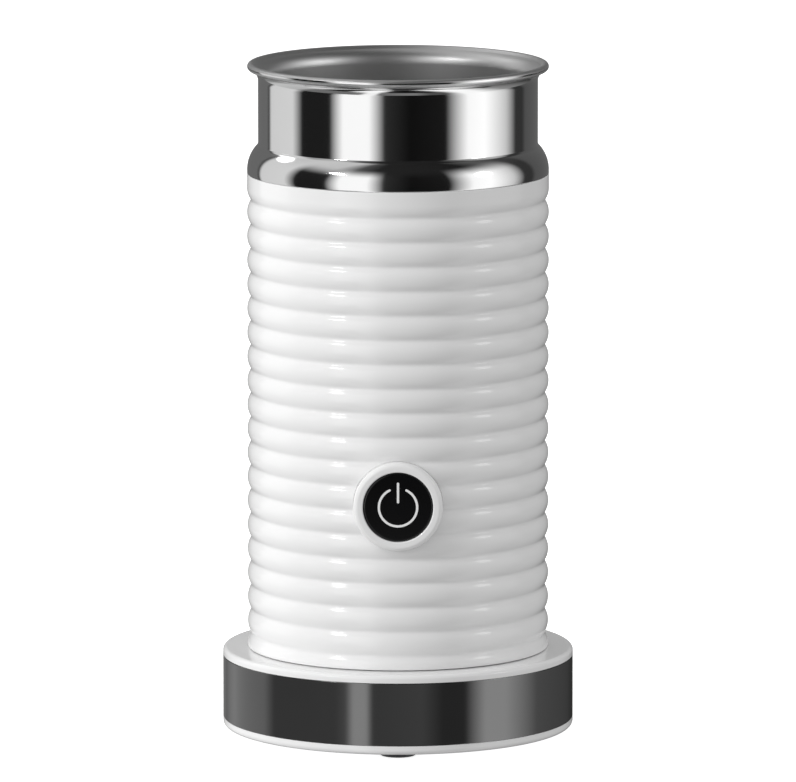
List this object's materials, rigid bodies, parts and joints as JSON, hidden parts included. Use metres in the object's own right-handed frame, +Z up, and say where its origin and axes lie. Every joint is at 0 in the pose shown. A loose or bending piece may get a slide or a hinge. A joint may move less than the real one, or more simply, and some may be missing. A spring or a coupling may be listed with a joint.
{
  "type": "electric milk frother",
  "caption": "Cordless electric milk frother: ribbed white jug with a steel pot and magnetic whisk on a round powered base.",
  "frame": {"origin": "middle of the footprint, on the surface that the rubber feet stand on", "axes": "+Z up along the jug's axis, -Y is the front where the button is, +Y is the rear where the cord enters, +X is to the right seen from the front"},
  "size_m": [0.095, 0.095, 0.1834],
  "materials": {
    "white_plastic": "satin white moulded polypropylene",
    "dark_chrome_band": "dark chrome plating on moulded ABS",
    "grey_rubber": "moulded thermoplastic rubber",
    "silicone": "translucent moulded silicone",
    "polished_steel": "mirror polished stainless steel",
    "pot_steel": "drawn stainless steel, satin inside and polished rim",
    "black_plastic": "black moulded ABS",
    "icon_white": "frosted light guide",
    "board_green": "green glass-epoxy board",
    "dark_moulding": "black moulded polyamide",
    "red_shutter": "red moulded polyamide",
    "brass": "stamped and turned brass",
    "zinc_steel": "bright zinc-plated steel",
    "aluminium": "cast and anodised aluminium",
    "element_sheath": "heat-tinted steel sheath",
    "magnet": "nickel-plated magnet and laminated iron",
    "copper_wire": "enamelled copper wire",
    "lead_sleeve": "silicone lead insulation"
  },
  "bodies": {
    "base": {"base_top_cover": "white_plastic", "base_trim_band": "dark_chrome_band", "base_bottom_cover": "white_plastic", "base_feet": "grey_rubber", "base_screws": "zinc_steel", "cord_gland": "grey_rubber", "coupler_housing": "dark_moulding", "coupler_live_contact": "brass", "coupler_neutral_contact": "brass", "coupler_earth_contact": "brass", "coupler_screws": "zinc_steel", "shutter_spring": "zinc_steel"},
    "shutter": {"shutter_ring": "red_shutter"},
    "button": {"button_cap": "black_plastic", "icon_light_guide": "icon_white", "switch_plunger": "dark_moulding"},
    "rotor": {"motor_shaft": "zinc_steel", "armature_core": "magnet", "armature_windings": "copper_wire", "commutator": "brass", "magnet_carrier": "black_plastic", "drive_magnets": "magnet"},
    "whisk": {"whisk_hub": "black_plastic", "whisk_magnets": "magnet"},
    "froth_coil": {"froth_coil": "zinc_steel"},
    "jug": {"button_bezel": "white_plastic", "button_board": "board_green", "button_board_screws": "zinc_steel", "capacitor": "aluminium", "collar_seal": "silicone", "connector_screws": "zinc_steel", "control_board": "board_green", "earth_ring": "brass", "heat_shield": "zinc_steel", "heater_element": "element_sheath", "heater_plate": "aluminium", "inner_pot": "pot_steel", "jug_bottom_cover": "white_plastic", "jug_bottom_screws": "zinc_steel", "jug_connector": "dark_moulding", "live_pin": "brass", "motor_brushes": "magnet", "motor_bushes": "brass", "motor_can": "zinc_steel", "motor_chassis": "dark_moulding", "motor_end_cap": "dark_moulding", "motor_screws": "zinc_steel", "neutral_ring": "brass", "outer_sleeve": "white_plastic", "pot_studs": "zinc_steel", "push_switch": "dark_moulding", "relay": "dark_moulding", "stator_magnets": "magnet", "steel_collar": "polished_steel", "supply_leads": "lead_sleeve", "temperature_sensor": "zinc_steel", "thermal_fuse": "aluminium", "triac_and_cooler": "aluminium", "whisk_spindle": "pot_steel"}
  },
  "joints": [
    {"name": "jug_turn", "type": "hinge", "parent": "base", "child": "shutter", "pos_m": [0, 0, 0.029], "axis": [0, 0, 1], "continuous": true},
    {"name": "jug_lift", "type": "slide", "parent": "shutter", "child": "jug", "axis": [0, 0, 1], "range_m": [0, 0.06]},
    {"name": "button_press", "type": "slide", "parent": "jug", "child": "button", "axis": [0, 1, 0], "range_m": [0, 0.0012], "stiffness_N_per_m": 1000},
    {"name": "motor_spin", "type": "hinge", "parent": "jug", "child": "rotor", "pos_m": [0, 0, 0.06], "axis": [0, 0, 1], "continuous": true},
    {"name": "whisk_lift", "type": "slide", "parent": "rotor", "child": "whisk", "axis": [0, 0, 1], "range_m": [0, 0.13]},
    {"name": "coil_lift", "type": "slide", "parent": "whisk", "child": "froth_coil", "axis": [0, 0, 1], "range_m": [0, 0.04]}
  ]
}
